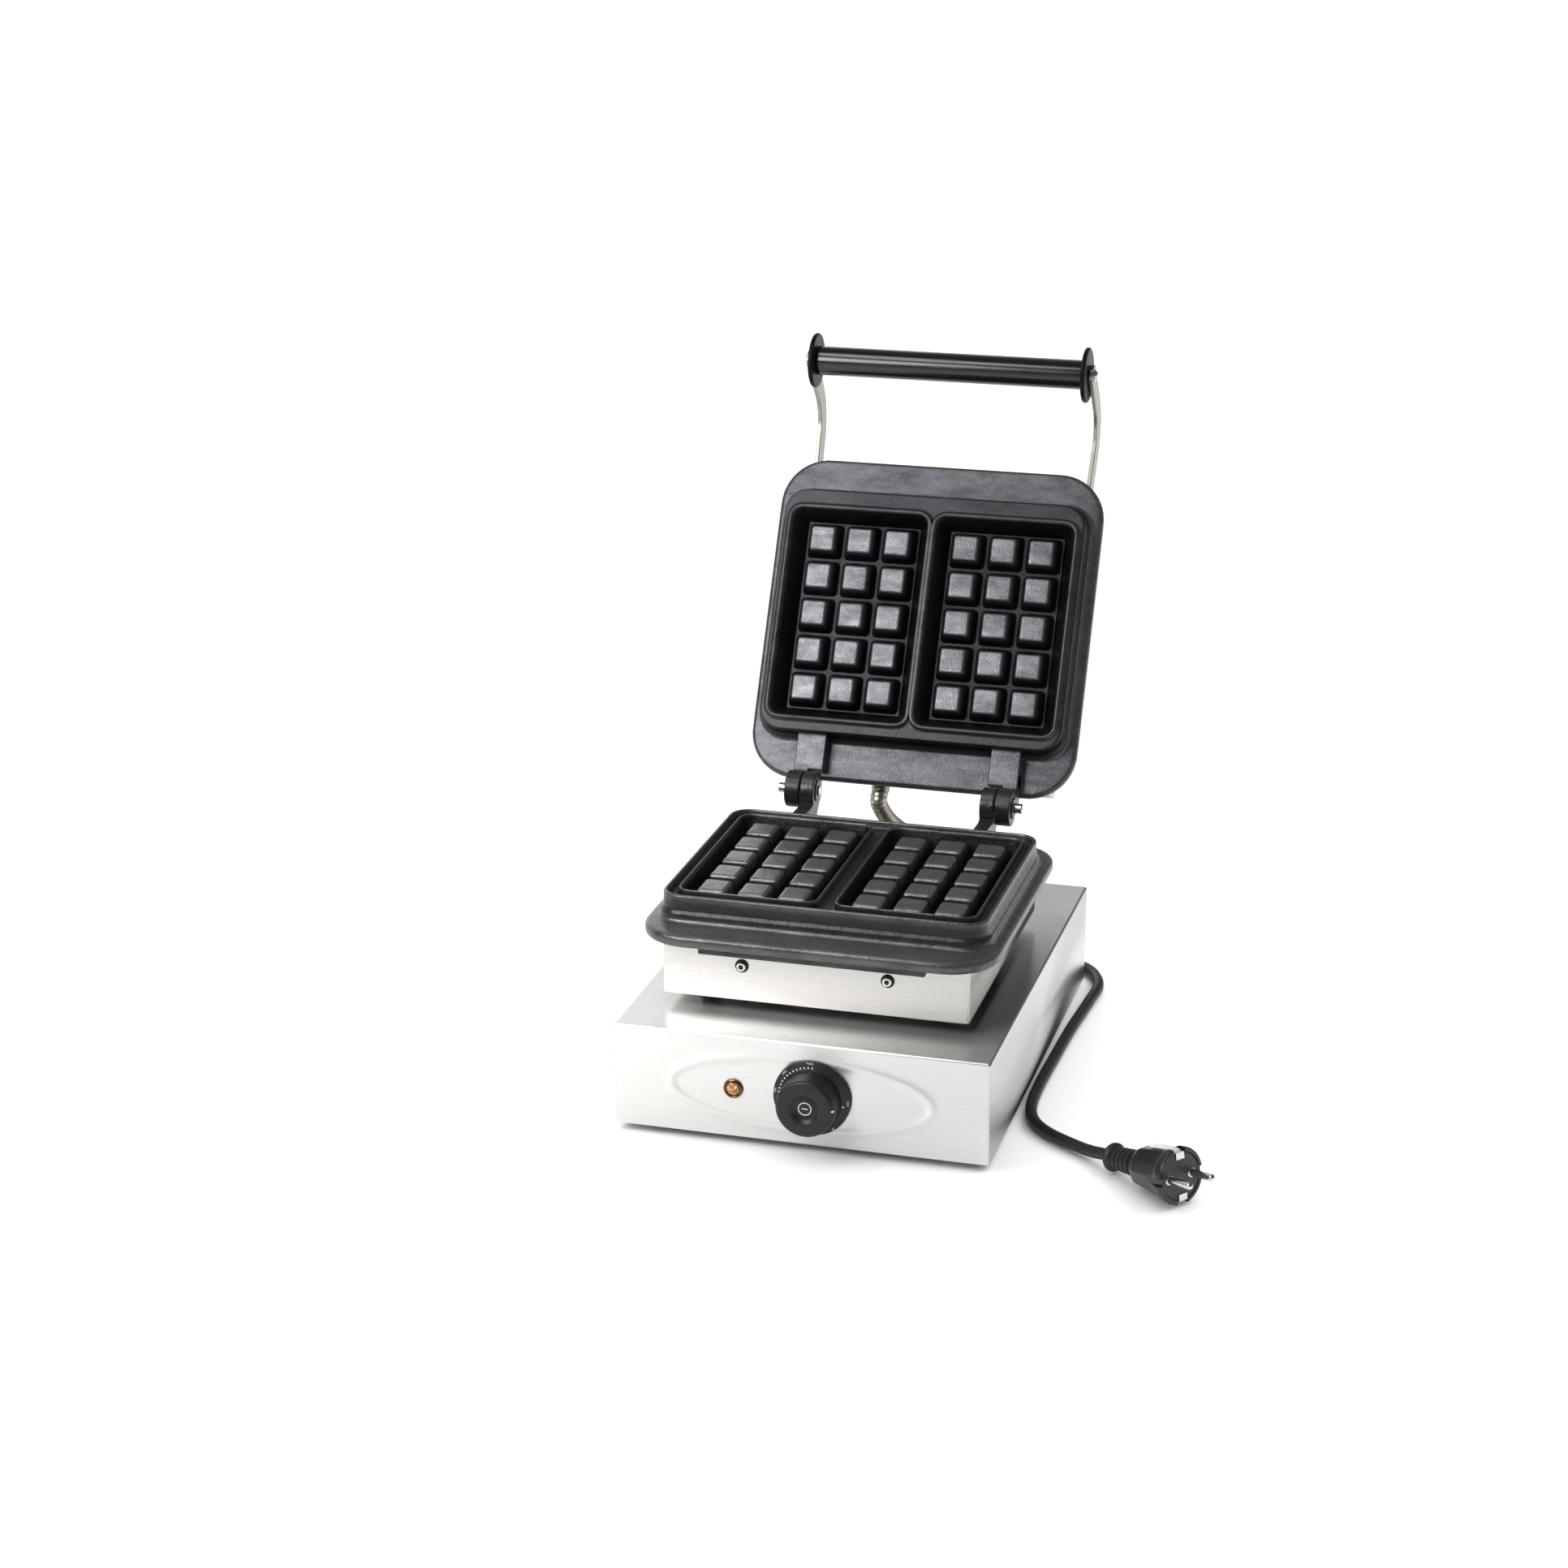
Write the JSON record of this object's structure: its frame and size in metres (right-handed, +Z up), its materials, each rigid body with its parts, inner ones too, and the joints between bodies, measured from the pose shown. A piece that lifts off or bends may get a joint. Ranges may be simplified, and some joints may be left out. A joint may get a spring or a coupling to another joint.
{
  "type": "waffle maker",
  "caption": "Commercial waffle maker: hinged cast plates with square cells on a heater housing, sheet-metal base with dial thermostat, lamp, tubular handle, wire hose and corded plug.",
  "frame": {"origin": "on the table, below the middle of the open machine without its mains cord", "axes": "-Y towards the user and the control panel, +X to the user's right, +Z up"},
  "size_m": [0.3962, 0.4816, 0.4517],
  "materials": {
    "base_housing": "brushed stainless sheet",
    "base_bottom_plate": "plain galvanised sheet",
    "foot": "matt moulded rubber",
    "standoff": "turned steel",
    "wire_duct": "turned steel",
    "lower_housing": "brushed stainless sheet",
    "lower_plate": "seasoned satin cast iron",
    "heating_element": "dark tubular element",
    "insulation": "matt mineral wool",
    "temperature_probe": "copper bulb",
    "thermostat_body": "ceramic-filled plastic",
    "terminal_block": "moulded plastic",
    "safety_limiter": "moulded plastic",
    "lamp_bezel": "dark metallised rim",
    "lamp_lens": "amber faceted lens",
    "screw": "bright steel",
    "hinge_pin": "bright ground steel",
    "hose_gland": "turned steel",
    "wire_hose": "spiral-wound steel hose",
    "cord_strain_relief": "matt moulded rubber",
    "mains_cord": "matt rubber sheath",
    "plug_strain_relief": "matt moulded rubber",
    "plug_body": "semi-gloss moulded plastic",
    "plug_contact": "nickel-plated",
    "upper_plate": "seasoned satin cast iron",
    "upper_cover": "brushed stainless sheet",
    "handle_grip": "polished heat-resistant plastic",
    "handle_rod": "bright steel",
    "handle_disc": "moulded heat-resistant plastic",
    "handle_bar": "satin stainless flat bar",
    "thermostat_knob": "satin black plastic",
    "knob_cap": "black cap",
    "thermostat_shaft": "turned steel"
  },
  "bodies": {
    "base": {"base_housing": "base_housing", "base_bottom_plate": "base_bottom_plate", "foot_front_left": "foot", "foot_front_right": "foot", "foot_rear_left": "foot", "foot_rear_right": "foot", "standoff_front_left": "standoff", "standoff_front_right": "standoff", "standoff_rear_left": "standoff", "standoff_rear_right": "standoff", "wire_duct": "wire_duct", "lower_housing": "lower_housing", "lower_plate": "lower_plate", "lower_heating_element": "heating_element", "lower_insulation": "insulation", "temperature_probe": "temperature_probe", "thermostat_body": "thermostat_body", "terminal_block": "terminal_block", "safety_limiter": "safety_limiter", "lamp_bezel": "lamp_bezel", "lamp_lens": "lamp_lens", "housing_screw_left": "screw", "housing_screw_right": "screw", "hinge_pin_left": "hinge_pin", "hinge_pin_right": "hinge_pin", "hose_gland_base": "hose_gland", "wire_hose": "wire_hose", "cord_strain_relief": "cord_strain_relief", "mains_cord_start": "mains_cord", "mains_cord_coil": "mains_cord", "mains_cord_end": "mains_cord", "plug_strain_relief": "plug_strain_relief", "plug_body": "plug_body", "plug_pin_left": "plug_contact", "plug_pin_right": "plug_contact", "plug_earth_clip_top": "plug_contact", "plug_earth_clip_bottom": "plug_contact"},
    "lid": {"upper_plate": "upper_plate", "upper_cover": "upper_cover", "upper_heating_element": "heating_element", "upper_insulation": "insulation", "hose_gland_lid": "hose_gland", "handle_grip": "handle_grip", "handle_rod": "handle_rod", "handle_disc_left": "handle_disc", "handle_bar_left": "handle_bar", "handle_screw_left": "screw", "bar_screw_front_left": "screw", "bar_screw_rear_left": "screw", "handle_disc_right": "handle_disc", "handle_bar_right": "handle_bar", "handle_screw_right": "screw", "bar_screw_front_right": "screw", "bar_screw_rear_right": "screw"},
    "knob": {"thermostat_knob": "thermostat_knob", "knob_cap": "knob_cap", "thermostat_shaft": "thermostat_shaft"}
  },
  "joints": [
    {"name": "lid_hinge", "type": "hinge", "parent": "base", "child": "lid", "pos_m": [0, 0.0557, 0.152], "axis": [1, 0, 0], "range_deg": [0, 117.5], "deforming": ["wire_hose"]},
    {"name": "thermostat", "type": "hinge", "parent": "base", "child": "knob", "pos_m": [0.0088, -0.2113, 0.039], "axis": [0, 1, 0], "range_deg": [0, 270]}
  ]
}
